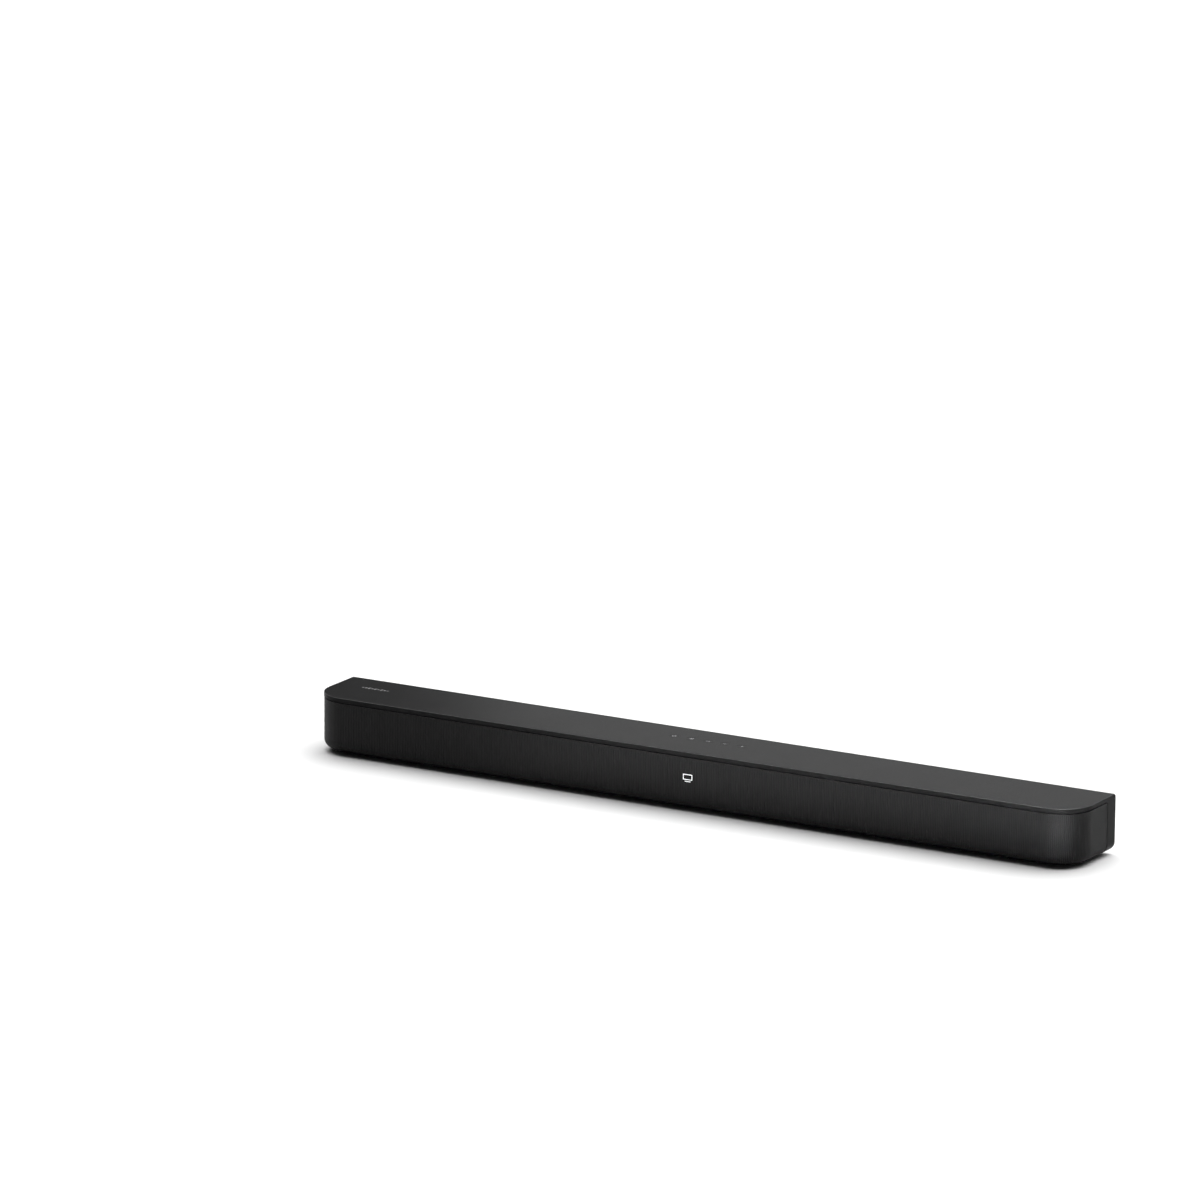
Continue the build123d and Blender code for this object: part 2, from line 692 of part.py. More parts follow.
with BuildPart() as service_socket:
    z = main_board_top + service_size[1] / 2
    with BuildSketch(facing_back(service_x, 12, z)):
        Rectangle(*service_size)
    extrude(amount=socket_face_y - 12)
    with BuildSketch(facing_back(service_x, socket_face_y, z)):
        Rectangle(12.6, 5.2)
    extrude(amount=-12, mode=Mode.SUBTRACT)
    block((service_x - 5.5, service_x + 5.5), (16.5, socket_face_y - 1), (z + 0.5, z + 2.1))
save(service_socket.part, "service_socket")

with BuildPart() as inlet_body:
    with BuildSketch(facing_back(middle(inlet_x), inlet_floor_y - tray_wall - 0.1, middle(inlet_z))):
        RectangleRounded(*inlet_body_size, 2)
    extrude(amount=-16)
    with BuildSketch(facing_back(middle(inlet_x), inlet_floor_y - tray_wall - 0.1, middle(inlet_z))):
        RectangleRounded(22, 14, 4)
    extrude(amount=tray_wall + 0.6)
    with BuildSketch(facing_back(middle(inlet_x), inlet_floor_y + 1, middle(inlet_z))):
        with Locations((-4, 0), (4, 0)):
            Circle(inlet_mouth_size[1] / 2)
        Rectangle(8, 9)
    extrude(amount=-14, mode=Mode.SUBTRACT)
    with BuildSketch(facing_back(middle(inlet_x), inlet_floor_y, middle(inlet_z))):
        with Locations((-pin_spacing / 2, 0), (pin_spacing / 2, 0)):
            Circle(1.22)
    extrude(amount=-30, mode=Mode.SUBTRACT)
save(inlet_body.part, "inlet_body")

with BuildPart() as inlet_pins:
    with BuildSketch(facing_back(middle(inlet_x), 8, middle(inlet_z))):
        with Locations((-pin_spacing / 2, 0), (pin_spacing / 2, 0)):
            Circle(1.2)
    extrude(amount=19)
save(inlet_pins.part, "inlet_pins")

# ---------------------------------------------------------------- boards and their parts

with BuildPart() as main_board:
    block(main_board_x, main_board_y, (main_board_top - board, main_board_top))
    main_corners = [(x, y) for x in (main_board_x[0] + 6, main_board_x[1] - 6)
                    for y in (main_board_y[0] + 6, main_board_y[1] - 6)]
    rods(main_corners, main_board_top - 3, main_board_top + 1, 1.7, mode=Mode.SUBTRACT)
save(main_board.part, "main_board")

with BuildPart() as power_board:
    block(power_board_x, power_board_y, (power_board_top - board, power_board_top))
    power_corners = [(x, y) for x in (power_board_x[0] + 6, power_board_x[1] - 6)
                     for y in (power_board_y[0] + 6, power_board_y[1] - 6)]
    rods(power_corners, power_board_top - 3, power_board_top + 1, 1.7, mode=Mode.SUBTRACT)
save(power_board.part, "power_board")

with BuildPart() as board_screws:
    for places, top in ((main_corners, main_board_top), (power_corners, power_board_top)):
        rods(places, top, top + 1.6, 2.8)
        rods(places, top - board - 4, top, 1.05)
save(board_screws.part, "board_screws")

with BuildPart() as board_chips:
    chips = [(-40, -12, 14, 14, 1.4), (-14, -16, 10, 10, 1.2), (8, -19, 12, 9, 1.6), (-62, -4, 8, 8, 1.2),
             (24, -24, 6, 5, 1.2), (-20, 2, 7, 5, 1.2), (62, 4, 8, 6, 1.2)]
    for x, y, long, wide, tall in chips:
        block((x - long / 2, x + long / 2), (y - wide / 2, y + wide / 2), (main_board_top, main_board_top + tall))
save(board_chips.part, "board_chips")

with BuildPart() as heat_sink:
    block((38, 58), (-26, -2), (main_board_top + 0.1, main_board_top + 2.4))
    for i in range(7):
        block((38 + i * 3.05, 39.2 + i * 3.05), (-26, -2), (main_board_top + 2.4, main_board_top + 14))
save(heat_sink.part, "heat_sink")

with BuildPart() as board_capacitors:
    rods([(66, -12), (66, -22), (-56, -22), (-68, -14), (-2, 5), (51, 10)], main_board_top, main_board_top + 10, 3.2)
save(board_capacitors.part, "board_capacitors")

with BuildPart() as output_coils:
    for x in (20, 30):
        for y in (-12, 2):
            block((x - 4, x + 4), (y - 4, y + 4), (main_board_top, main_board_top + 4.5))
save(output_coils.part, "output_coils")

with BuildPart() as wireless_module:
    block((-70, -48), (10, 13.2), (main_board_top, main_board_top + 14))
save(wireless_module.part, "wireless_module")

with BuildPart() as transformer:
    block((150, 180), (-20, 6), (power_board_top, power_board_top + 4))
    block((153, 177), (-16, 2), (power_board_top + 4, power_board_top + 22))
    block((150, 180), (-20, 6), (power_board_top + 22, power_board_top + 26))
    block((146, 152.9), (-13, -1), (power_board_top + 5, power_board_top + 21))
    block((177.1, 184), (-13, -1), (power_board_top + 5, power_board_top + 21))
save(transformer.part, "transformer")

with BuildPart() as bulk_capacitors:
    rods([(206, -14)], power_board_top, power_board_top + 30, 9.0)
    rods([(126, -18), (126, -4), (138, -22)], power_board_top, power_board_top + 20, 5.0)
    fillet(bulk_capacitors.faces().filter_by(Axis.Z).group_by(Axis.Z)[-1].edges(), radius=0.8)
save(bulk_capacitors.part, "bulk_capacitors")

with BuildPart() as fuse:
    block((208, 218), (2, 12), (power_board_top, power_board_top + 9))
    block((160, 168), (9, 15), (power_board_top, power_board_top + 11))
save(fuse.part, "fuse")

# ---------------------------------------------------------------- wiring held inside

with BuildPart() as speaker_leads:
    for side, x in zip((-1, 1), drivers_at):
        hole_x = x - side * box_width / 2
        start_x = side * 76
        for dy in (-1.1, 1.1):
            with BuildLine() as run:
                Spline((start_x, 8 + dy, main_board_top + 1), (side * 110, 8 + dy, lead_hole_z - 2),
                       (hole_x - side * 8, dy, lead_hole_z), (hole_x + side * 14, dy, lead_hole_z),
                       (x - side * 36, dy - 8, driver_z + 17))
            with BuildSketch(Plane(origin=run.line @ 0, z_dir=run.line % 0)):
                Circle(0.9)
            sweep(path=run.line)
save(speaker_leads.part, "speaker_leads")

with BuildPart() as power_leads:
    for dx in (-pin_spacing / 2, pin_spacing / 2):
        with BuildLine() as run:
            Spline((middle(inlet_x) + dx, 7.5, middle(inlet_z)), (middle(inlet_x) + dx, 2, 27 + dx / 2),
                   (middle(inlet_x) + dx, -2, power_board_top + 1.2),
                   tangents=((0, -1, 0), (0, 0, -1)))
        with BuildSketch(Plane(origin=run.line @ 0, z_dir=run.line % 0)):
            Circle(1.1)
        sweep(path=run.line)
save(power_leads.part, "power_leads")

with BuildPart() as flat_cables:
    block((-8, 8), (-4.4, -4.1), (main_board_top + 3, key_board_top - thin_board - 0.1))
    block((-8, 8), (-6, -2.5), (main_board_top + 0.05, main_board_top + 3))
    block((10, 22), (display_board_y + board + 0.1, display_board_y + board + 0.4), (main_board_top + 0.1, 44))
save(flat_cables.part, "flat_cables")
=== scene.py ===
# %% [markdown]
# # A slim soundbar
#
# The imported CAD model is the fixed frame: every body, key and driver is already in place. This
# lesson gives it a camera, a pale studio, real finishes, and the pieces that are too fine for the
# CAD: the slotted grille, the cloth behind it and the printed signs. All lengths are metres, -Y faces
# the listener and +Z is up.

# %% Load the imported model
import math

import bpy
from mathutils import Matrix, Vector


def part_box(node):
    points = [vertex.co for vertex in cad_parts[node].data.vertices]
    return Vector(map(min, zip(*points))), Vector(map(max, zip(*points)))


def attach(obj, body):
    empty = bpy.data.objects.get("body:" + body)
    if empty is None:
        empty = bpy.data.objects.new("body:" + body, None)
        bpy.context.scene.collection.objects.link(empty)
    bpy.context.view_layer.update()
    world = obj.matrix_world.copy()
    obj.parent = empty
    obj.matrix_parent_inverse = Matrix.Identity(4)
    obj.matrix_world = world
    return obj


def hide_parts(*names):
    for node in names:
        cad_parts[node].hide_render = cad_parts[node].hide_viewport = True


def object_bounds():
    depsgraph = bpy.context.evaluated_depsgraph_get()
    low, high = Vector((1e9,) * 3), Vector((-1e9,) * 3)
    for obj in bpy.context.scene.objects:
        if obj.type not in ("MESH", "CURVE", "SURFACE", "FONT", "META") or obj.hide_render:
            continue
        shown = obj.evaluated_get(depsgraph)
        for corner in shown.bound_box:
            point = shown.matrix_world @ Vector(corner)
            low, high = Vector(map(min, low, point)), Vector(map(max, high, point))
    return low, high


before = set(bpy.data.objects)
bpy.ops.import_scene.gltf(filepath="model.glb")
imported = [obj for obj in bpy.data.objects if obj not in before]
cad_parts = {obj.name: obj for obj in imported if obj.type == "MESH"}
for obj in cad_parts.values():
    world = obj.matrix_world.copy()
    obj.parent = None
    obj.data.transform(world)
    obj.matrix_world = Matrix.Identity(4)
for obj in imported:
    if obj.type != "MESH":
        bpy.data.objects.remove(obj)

cad_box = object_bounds()
bar_low, bar_high = cad_box
print("the bar measures", [round(v, 4) for v in bar_high - bar_low])

# %% [markdown]
# ## Camera
#
# A catalogue view of a long low object is taken from far off with a long lens, so that its edges
# stay nearly parallel. The camera stands to the bar's right, a little above it, and is set by its
# bearing, height angle, distance and a slight roll round the line of sight. Three axes at right
# angles, built with cross products, turn those angles into the camera's matrix.

# %% Camera
VIEW_BEARING = math.radians(29.88)
VIEW_HEIGHT = math.radians(13.979)
VIEW_ROLL = math.radians(0.454)
VIEW_DISTANCE = 9.2301
VIEW_TARGET = Vector((-0.12668, 0, 0.19818))
SENSOR = 36.0                       # width of the film, in millimetres
LENS = 268.37                       # focal length, in millimetres
CLIP = (0.1, 100)                   # nearest and farthest that the camera sees

back = Vector((math.sin(VIEW_BEARING) * math.cos(VIEW_HEIGHT),
               -math.cos(VIEW_BEARING) * math.cos(VIEW_HEIGHT),
               math.sin(VIEW_HEIGHT)))
level = Vector((0, 0, 1)).cross(back).normalized()
upright = back.cross(level)
right = math.cos(VIEW_ROLL) * level + math.sin(VIEW_ROLL) * upright
up = back.cross(right)

lens = bpy.data.cameras.new("camera")
lens.sensor_width = SENSOR
lens.lens = LENS
lens.clip_start, lens.clip_end = CLIP
camera = bpy.data.objects.new("camera", lens)
camera_turn = Matrix((right, up, back)).transposed().to_4x4()
camera.matrix_world = Matrix.Translation(VIEW_TARGET + VIEW_DISTANCE * back) @ camera_turn
bpy.context.scene.collection.objects.link(camera)
bpy.context.scene.camera = camera
print("camera at", [round(v, 3) for v in camera.matrix_world.translation])

# %% [markdown]
# ## Helpers
#
# Operators act on whatever is selected, so each step starts from nothing selected. A piece is modelled
# in edit mode, its placing is then written into its mesh, and it is shaded smooth except at real
# edges. Two edit-mode steps make every swept shape here: grow extrudes the selection straight on, and
# turn spins it round an axis.


# %% Helpers for modelling
def start_clean():
    """Leave edit mode and deselect everything."""
    if bpy.context.object and bpy.context.object.mode != "OBJECT":
        bpy.ops.object.mode_set(mode="OBJECT")
    bpy.ops.object.select_all(action="DESELECT")


def only(piece):
    """Select one object and make it the active one."""
    start_clean()
    piece.select_set(True)
    bpy.context.view_layer.objects.active = piece


def select_where(piece, kind, test):
    """In edit mode, select just the vertices, or the edges, whose middle passes the test."""
    bpy.ops.mesh.select_mode(type=kind)
    bpy.ops.mesh.select_all(action="DESELECT")
    bpy.ops.object.mode_set(mode="OBJECT")
    mesh = piece.data
    if kind == "VERT":
        for vertex in mesh.vertices:
            vertex.select = test(vertex.co)
    else:
        for edge in mesh.edges:
            edge.select = test(sum((mesh.vertices[i].co for i in edge.vertices), Vector()) / 2)
    bpy.ops.object.mode_set(mode="EDIT")


def grow(move):
    """In edit mode, extrude the selection by a move."""
    bpy.ops.mesh.extrude_region_move(TRANSFORM_OT_translate={"value": move})


def turn(centre, axis, degrees, steps):
    """In edit mode, sweep the selection round an axis, anticlockwise seen from the axis's tip."""
    bpy.ops.mesh.spin(steps=steps, angle=-math.radians(degrees), center=centre, axis=axis)


def face_out(piece):
    """Merge doubles and point every face outwards."""
    only(piece)
    bpy.ops.object.mode_set(mode="EDIT")
    bpy.ops.mesh.select_all(action="SELECT")
    bpy.ops.mesh.remove_doubles(threshold=1e-6)
    bpy.ops.mesh.normals_make_consistent(inside=False)
    bpy.ops.object.mode_set(mode="OBJECT")


def extent(piece):
    """The lowest and highest corner of a mesh, in millimetres, to print."""
    places = [vertex.co for vertex in piece.data.vertices]
    return [[round(1000 * pick(co[i] for co in places), 2) for i in range(3)] for pick in (min, max)]


def finish_piece(piece, name, material, body="cabinet", sharp=35):
    """Name a piece, write its place into its mesh, shade it and let it ride on its body."""
    only(piece)
    piece.name = piece.data.name = name
    bpy.ops.object.transform_apply(location=True, rotation=True, scale=True)
    bpy.ops.object.shade_smooth_by_angle(angle=math.radians(sharp))
    piece.data.materials.clear()
    piece.data.materials.append(material)
    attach(piece, body)
    print(name, "has", len(piece.data.polygons), "faces")


print("helpers ready")

# %% [markdown]
# ## Studio
#
# A black object shows what it reflects, so the studio is a pale floor under a sky that is dark at the
# horizon and bright overhead: the floor comes out white and the upright faces stay black. The bright
# part leans a little to the rear, so the bar's soft shadow falls forward and shows how low it stands.
# A picture of a real studio could light the scene as well, but the angle from one bright spot, worked
# out by a dot product, needs no file and is easy to steer.

# %% Floor
FLOOR_SIZE = 60.0
FLOOR_PALE = 0.93
start_clean()
bpy.ops.mesh.primitive_plane_add(size=FLOOR_SIZE, location=(0, 0, 0))
floor = bpy.context.object
floor.name = "floor"
floor_paint = bpy.data.materials.new("floor_paint")
floor_paint.use_nodes = True
paint = floor_paint.node_tree.nodes["Principled BSDF"]
paint.inputs["Base Color"].default_value = (FLOOR_PALE, FLOOR_PALE, FLOOR_PALE, 1)
paint.inputs["Roughness"].default_value = 0.9
paint.inputs["Specular IOR Level"].default_value = 0.0
floor.data.materials.append(floor_paint)
print("floor", FLOOR_SIZE, "metres wide")

# %% Sky
SKY_LOW, SKY_HIGH = 0.04, 4.0       # strength at the horizon and at the brightest spot
SKY_EDGE = 0.60                     # cosine of the angle from that spot where the light begins
SKY_LEAN = math.radians(20)         # how far that spot leans to the rear
sky = bpy.data.worlds.new("studio")
bpy.context.scene.world = sky
sky.use_nodes = True
sky_nodes, sky_links = sky.node_tree.nodes, sky.node_tree.links
direction = sky_nodes.new("ShaderNodeTexCoord")
facing = sky_nodes.new("ShaderNodeVectorMath")
facing.operation = "DOT_PRODUCT"
facing.inputs[1].default_value = (0, math.sin(SKY_LEAN), math.cos(SKY_LEAN))
rise = sky_nodes.new("ShaderNodeMapRange")
rise.inputs["From Min"].default_value = SKY_EDGE
rise.inputs["From Max"].default_value = 1.0
rise.inputs["To Min"].default_value = SKY_LOW
rise.inputs["To Max"].default_value = SKY_HIGH
sky_links.new(direction.outputs["Generated"], facing.inputs[0])
sky_links.new(facing.outputs["Value"], rise.inputs["Value"])
sky_links.new(rise.outputs["Result"], sky_nodes["Background"].inputs["Strength"])
sky_nodes["Background"].inputs["Color"].default_value = (1.0, 1.0, 1.0, 1)
bpy.context.scene.view_settings.view_transform = "Standard"
print("sky from", SKY_LOW, "at the horizon to", SKY_HIGH, "overhead")

# %% [markdown]
# Three soft lamps do the modelling. One stands behind the bar and is mirrored in the satin top, which
# fades towards black at its left end. The upright grille mirrors the floor in front of it, so the
# other two are boxes with a grid that light only a patch of floor there: the long patch lifts the
# grille's right part, and the short one shows in the round corner as an upright streak.


# %% Lamps
def soft_light(name, place, aim, width, tall, power):
    """A rectangular softbox that faces its aim; the power is in watts."""
    lamp = bpy.data.lights.new(name, "AREA")
    lamp.shape = "RECTANGLE"
    lamp.size, lamp.size_y = width, tall
    lamp.energy = power
    box = bpy.data.objects.new(name, lamp)
    box.location = place
    box.rotation_euler = (Vector(aim) - Vector(place)).to_track_quat("-Z", "Y").to_euler()
    box.visible_camera = False
    bpy.context.scene.collection.objects.link(box)
    return box


TOP_X = -0.445
soft_light("top_light", (TOP_X, 1.2, 0.42), (TOP_X, 0, 0.15), width=1.09, tall=0.4, power=1.9)

PATCH_Y = -0.345                    # the middle of the lit strip of floor
PATCH_DEPTH = 0.45
GRID_HEIGHT = 0.5
GRID_SPREAD = math.radians(8)
for name, x, width, power in (("floor_glow", 0.20, 0.90, 4.1), ("corner_glow", 0.525, 0.18, 3.6)):
    glow = soft_light(name, (x, PATCH_Y, GRID_HEIGHT), (x, PATCH_Y, 0), width, PATCH_DEPTH, power)
    glow.data.spread = GRID_SPREAD
print("lamps:", len(bpy.data.lights))

# %% [markdown]
# ## Finishes
#
# The finishes could be image textures, but those need files, a map on every part and high resolution
# for a fine grain. Here every finish is procedural and reads object coordinates, which are metres on
# the bar, so a grain of 0.4 mm is a noise with a scale near 2500. Noise drives a little colour,
# roughness and bump, because real moulded plastic, powder coat and rubber are never perfectly even.


# %% Helpers for finishes
CLOUD = 25.0                        # scale of the faint cloudiness, in patches per metre
MIDDLE = (0.3, 0.7)                 # most of a noise lies between these values
UNEVEN = 0.06                       # how far the roughness strays to either side


def new_finish(name):
    """A material with its nodes, links and shader, and a source of coordinates."""
    material = bpy.data.materials.new(name)
    material.use_nodes = True
    nodes, links = material.node_tree.nodes, material.node_tree.links
    return material, nodes, links, nodes["Principled BSDF"], nodes.new("ShaderNodeTexCoord")


def noise_at(nodes, links, place, scale, detail=4.0, stretch=(1, 1, 1)):
    """A noise in object coordinates, stretched along the axes when asked."""
    mapping = nodes.new("ShaderNodeMapping")
    mapping.inputs["Scale"].default_value = stretch
    noise = nodes.new("ShaderNodeTexNoise")
    noise.inputs["Scale"].default_value = scale
    noise.inputs["Detail"].default_value = detail
    links.new(place.outputs["Object"], mapping.inputs["Vector"])
    links.new(mapping.outputs["Vector"], noise.inputs["Vector"])
    return noise.outputs["Fac"]


def between(nodes, links, value, low_value, high_value):
    """The middle of a noise spread over a new range."""
    spread = nodes.new("ShaderNodeMapRange")
    spread.inputs["From Min"].default_value = MIDDLE[0]
    spread.inputs["From Max"].default_value = MIDDLE[1]
    spread.inputs["To Min"].default_value = low_value
    spread.inputs["To Max"].default_value = high_value
    links.new(value, spread.inputs["Value"])
    return spread.outputs["Result"]


def tinted(nodes, links, value, dark, light):
    """A colour that runs from dark to light with the value."""
    ramp = nodes.new("ShaderNodeValToRGB")
    ramp.color_ramp.elements[0].position = MIDDLE[0]
    ramp.color_ramp.elements[1].position = MIDDLE[1]
    ramp.color_ramp.elements[0].color = (*dark, 1)
    ramp.color_ramp.elements[1].color = (*light, 1)
    links.new(value, ramp.inputs["Fac"])
    return ramp.outputs["Color"]


def raised(nodes, links, shader, value, depth):
    """The value as relief of that depth."""
    bump = nodes.new("ShaderNodeBump")
    bump.inputs["Distance"].default_value = depth
    bump.inputs["Strength"].default_value = 1.0
    links.new(value, bump.inputs["Height"])
    links.new(bump.outputs["Normal"], shader.inputs["Normal"])


def grained(name, colour, rough, grain, depth, metal=0.0, shine=0.5, mottle=0.12, stretch=(1, 1, 1)):
    """A moulded, painted or drawn surface with fine grain and faint cloudiness.

    The grain is the scale of its noise, the depth is its relief in metres, the shine is the specular
    level, and the mottle is how far the colour strays from its middle.
    """
    material, nodes, links, shader, place = new_finish(name)
    fine = noise_at(nodes, links, place, grain, 3.0, stretch)
    cloudy = noise_at(nodes, links, place, CLOUD, 5.0)
    dark = [c * (1 - mottle) for c in colour]
    light = [c * (1 + mottle) for c in colour]
    links.new(tinted(nodes, links, cloudy, dark, light), shader.inputs["Base Color"])
    uneven = between(nodes, links, fine, rough - UNEVEN, rough + UNEVEN)
    links.new(uneven, shader.inputs["Roughness"])
    raised(nodes, links, shader, fine, depth)
    shader.inputs["Metallic"].default_value = metal
    shader.inputs["Specular IOR Level"].default_value = shine
    return material


# %% [markdown]
# The cabinet is moulded in a spark-eroded tool, which leaves a fine satin pebble. Along its top edge a
# thin paler line is painted into the colour: a painted highlight that stands in for the shine of the
# small rounding. The line is a band in height, read from the object coordinates: it lies on the
# rounding, between the wall and the flat top. A separate strip along the edge would do too, but it
# would have to follow every curve of the cover. The band is a ramp from black to white and back, and it
# mixes two colours.

# %% Cabinet finish: the painted highlight band
EDGE_ROUND = 0.0008                 # radius of the cabinet's top edge
EDGE_TOP_GAP = 0.00002              # the band ends this far below the flat top
FULLY_PALE = (0.25, 0.85)           # where the band is palest, as shares of its height
SATIN_DARK = (0.0082, 0.0082, 0.0084)
SATIN_LIGHT = (0.0106, 0.0106, 0.0109)
# painted highlight: a paler colour on the top edge's rounding, standing in for its shine
PAINTED_EDGE_HIGHLIGHT = (0.085, 0.085, 0.086)
MIX_FIRST, MIX_SECOND, MIX_RESULT = 6, 7, 2     # the colour sockets of a Mix node

cabinet_satin, satin_nodes, satin_links, satin_shader, satin_place = new_finish("cabinet_satin")
pebble = noise_at(satin_nodes, satin_links, satin_place, 2600, 3.0)
clouds = noise_at(satin_nodes, satin_links, satin_place, CLOUD, 5.0)
height_in_bar = satin_nodes.new("ShaderNodeSeparateXYZ")
satin_links.new(satin_place.outputs["Object"], height_in_bar.inputs["Vector"])
# the band is the mask of the painted highlight on the edge rounding
band = satin_nodes.new("ShaderNodeValToRGB")
band.color_ramp.elements[0].position = 0.0
band.color_ramp.elements[0].color = (0, 0, 0, 1)
band.color_ramp.elements[1].position = 1.0
band.color_ramp.elements[1].color = (0, 0, 0, 1)
for spot in FULLY_PALE:
    band.color_ramp.elements.new(spot).color = (1, 1, 1, 1)
edge_span = satin_nodes.new("ShaderNodeMapRange")
edge_span.inputs["From Min"].default_value = bar_high.z - EDGE_ROUND
edge_span.inputs["From Max"].default_value = bar_high.z - EDGE_TOP_GAP
satin_links.new(height_in_bar.outputs["Z"], edge_span.inputs["Value"])
satin_links.new(edge_span.outputs["Result"], band.inputs["Fac"])
print("painted_highlight band", round(1000 * (EDGE_ROUND - EDGE_TOP_GAP), 2), "mm tall")

# %% Cabinet finish: colour, gloss and pebble
# mix the painted highlight's paler colour over the satin tint, inside the band
edge_highlight_mix = satin_nodes.new("ShaderNodeMix")
edge_highlight_mix.data_type = "RGBA"
satin_links.new(band.outputs["Color"], edge_highlight_mix.inputs["Factor"])
satin_tint = tinted(satin_nodes, satin_links, clouds, SATIN_DARK, SATIN_LIGHT)
satin_links.new(satin_tint, edge_highlight_mix.inputs[MIX_FIRST])
edge_highlight_mix.inputs[MIX_SECOND].default_value = (*PAINTED_EDGE_HIGHLIGHT, 1)
satin_links.new(edge_highlight_mix.outputs[MIX_RESULT], satin_shader.inputs["Base Color"])
satin_rough = between(satin_nodes, satin_links, pebble, 0.32, 0.44)
satin_links.new(satin_rough, satin_shader.inputs["Roughness"])
raised(satin_nodes, satin_links, satin_shader, pebble, 0.00002)
satin_shader.inputs["Specular IOR Level"].default_value = 0.035
print("cabinet_satin has", len(satin_nodes), "nodes")

# %% [markdown]
# The ribs of the grille are coated black and are duller. Screws are zinc plated, so their grain is
# drawn out along one axis. All of them are one recipe with other numbers, so one function makes them.

# %% Finishes of the grille and hardware
cover_matte = grained("cover_matte", (0.009, 0.009, 0.0095), 0.60, 1800, 0.00004, shine=0.1)
grille_coat = grained("grille_coat", (0.0050, 0.0050, 0.0052), 0.46, 3200, 0.00001, shine=0.16)
frame_matte = grained("frame_matte", (0.006, 0.006, 0.0065), 0.75, 2000, 0.00003)
tray_matte = grained("tray_matte", (0.011, 0.011, 0.0115), 0.55, 2200, 0.00003, shine=0.3)
foot_rubber = grained("foot_rubber", (0.022, 0.022, 0.023), 0.85, 1400, 0.00005, shine=0.3)
foam = grained("foam", (0.03, 0.03, 0.03), 0.95, 900, 0.0003, shine=0.2)
zinc = grained("zinc", (0.50, 0.50, 0.52), 0.32, 1500, 0.00001, metal=1.0, stretch=(1, 1, 6))
nickel = grained("nickel", (0.62, 0.61, 0.58), 0.25, 1200, 0.000006, metal=1.0, stretch=(5, 1, 1))
pin_brass = grained("pin_brass", (0.72, 0.55, 0.25), 0.25, 1500, 0.000005, metal=1.0, stretch=(1, 5, 1))
socket_black = grained("socket_black", (0.012, 0.012, 0.013), 0.35, 1600, 0.00001)
print("finishes:", len(bpy.data.materials))

# %% [markdown]
# Boards, windings and cloth have a pattern of their own: copper tracks under lacquer, wire laid in
# turns, and a plain weave. The windings and the weave also get painted shade where one turn or thread
# meets or goes under the next. The weave follows the cloth's own UV map, so it stays square to the edge
# where the cloth goes round a corner.


# %% Helpers for finishes with a pattern
TRACKS = 160                        # scale of the cells whose edges are the tracks
TRACK_WIDTH = 0.08                  # of a track, as a share of a cell
# VALLEY_SHADE is painted shade: the colour is darker in the valley between two turns, where shade falls
VALLEY_SHADE = 0.55                       # how dark it is between two turns of wire
SHADED = 0.5                        # how dark a thread is where it goes under
FLUFF = 0.5                         # how much loose fibre shows in the weave


def board_finish(name, lacquer, track):
    """Solder mask with tracks showing as slightly raised, paler lines."""
    material, nodes, links, shader, place = new_finish(name)
    cells = nodes.new("ShaderNodeTexVoronoi")
    cells.feature = "DISTANCE_TO_EDGE"
    cells.inputs["Scale"].default_value = TRACKS
    links.new(place.outputs["Object"], cells.inputs["Vector"])
    lines = nodes.new("ShaderNodeMapRange")
    lines.inputs["From Max"].default_value = TRACK_WIDTH
    lines.inputs["To Min"].default_value = 1.0
    lines.inputs["To Max"].default_value = 0.0
    links.new(cells.outputs["Distance"], lines.inputs["Value"])
    ramp = nodes.new("ShaderNodeValToRGB")
    ramp.color_ramp.elements[0].color = (*lacquer, 1)
    ramp.color_ramp.elements[1].color = (*track, 1)
    links.new(lines.outputs["Result"], ramp.inputs["Fac"])
    links.new(ramp.outputs["Color"], shader.inputs["Base Color"])
    fine = noise_at(nodes, links, place, 700)
    links.new(between(nodes, links, fine, 0.28, 0.42), shader.inputs["Roughness"])
    raised(nodes, links, shader, lines.outputs["Result"], 0.00004)
    return material


def wound_finish(name, colour, turns, axis):
    """Wire or ribs laid side by side along one axis, with painted shade in the valleys between them."""
    material, nodes, links, shader, place = new_finish(name)
    wave = nodes.new("ShaderNodeTexWave")
    wave.bands_direction = axis
    wave.inputs["Scale"].default_value = turns
    wave.inputs["Distortion"].default_value = 0.2
    links.new(place.outputs["Object"], wave.inputs["Vector"])
    # painted shade: the wave's valleys take the darker colour
    dark = [c * VALLEY_SHADE for c in colour]
    links.new(tinted(nodes, links, wave.outputs["Fac"], dark, colour), shader.inputs["Base Color"])
    fine = noise_at(nodes, links, place, 1500)
    links.new(between(nodes, links, fine, 0.25, 0.4), shader.inputs["Roughness"])
    raised(nodes, links, shader, wave.outputs["Fac"], 0.0001)
    return material


def weave_finish(name, colour, across, along):
    """Plain weave on the cloth's own UV map: threads over and under, across by along of them."""
    material, nodes, links, shader, place = new_finish(name)
    mapping = nodes.new("ShaderNodeMapping")
    mapping.inputs["Scale"].default_value = (across, along, 1)
    links.new(place.outputs["UV"], mapping.inputs["Vector"])
    checks = nodes.new("ShaderNodeTexChecker")
    checks.inputs["Scale"].default_value = 1.0
    links.new(mapping.outputs["Vector"], checks.inputs["Vector"])
    fluff = noise_at(nodes, links, place, 3000, 2.0)
    mix = nodes.new("ShaderNodeMath")
    mix.operation = "MULTIPLY_ADD"
    mix.inputs[1].default_value = FLUFF
    links.new(fluff, mix.inputs[0])
    links.new(checks.outputs["Fac"], mix.inputs[2])
    dark = [c * SHADED for c in colour]
    links.new(tinted(nodes, links, mix.outputs[0], dark, colour), shader.inputs["Base Color"])
    shader.inputs["Roughness"].default_value = 0.95
    shader.inputs["Specular IOR Level"].default_value = 0.1
    raised(nodes, links, shader, mix.outputs[0], 0.0001)
    return material


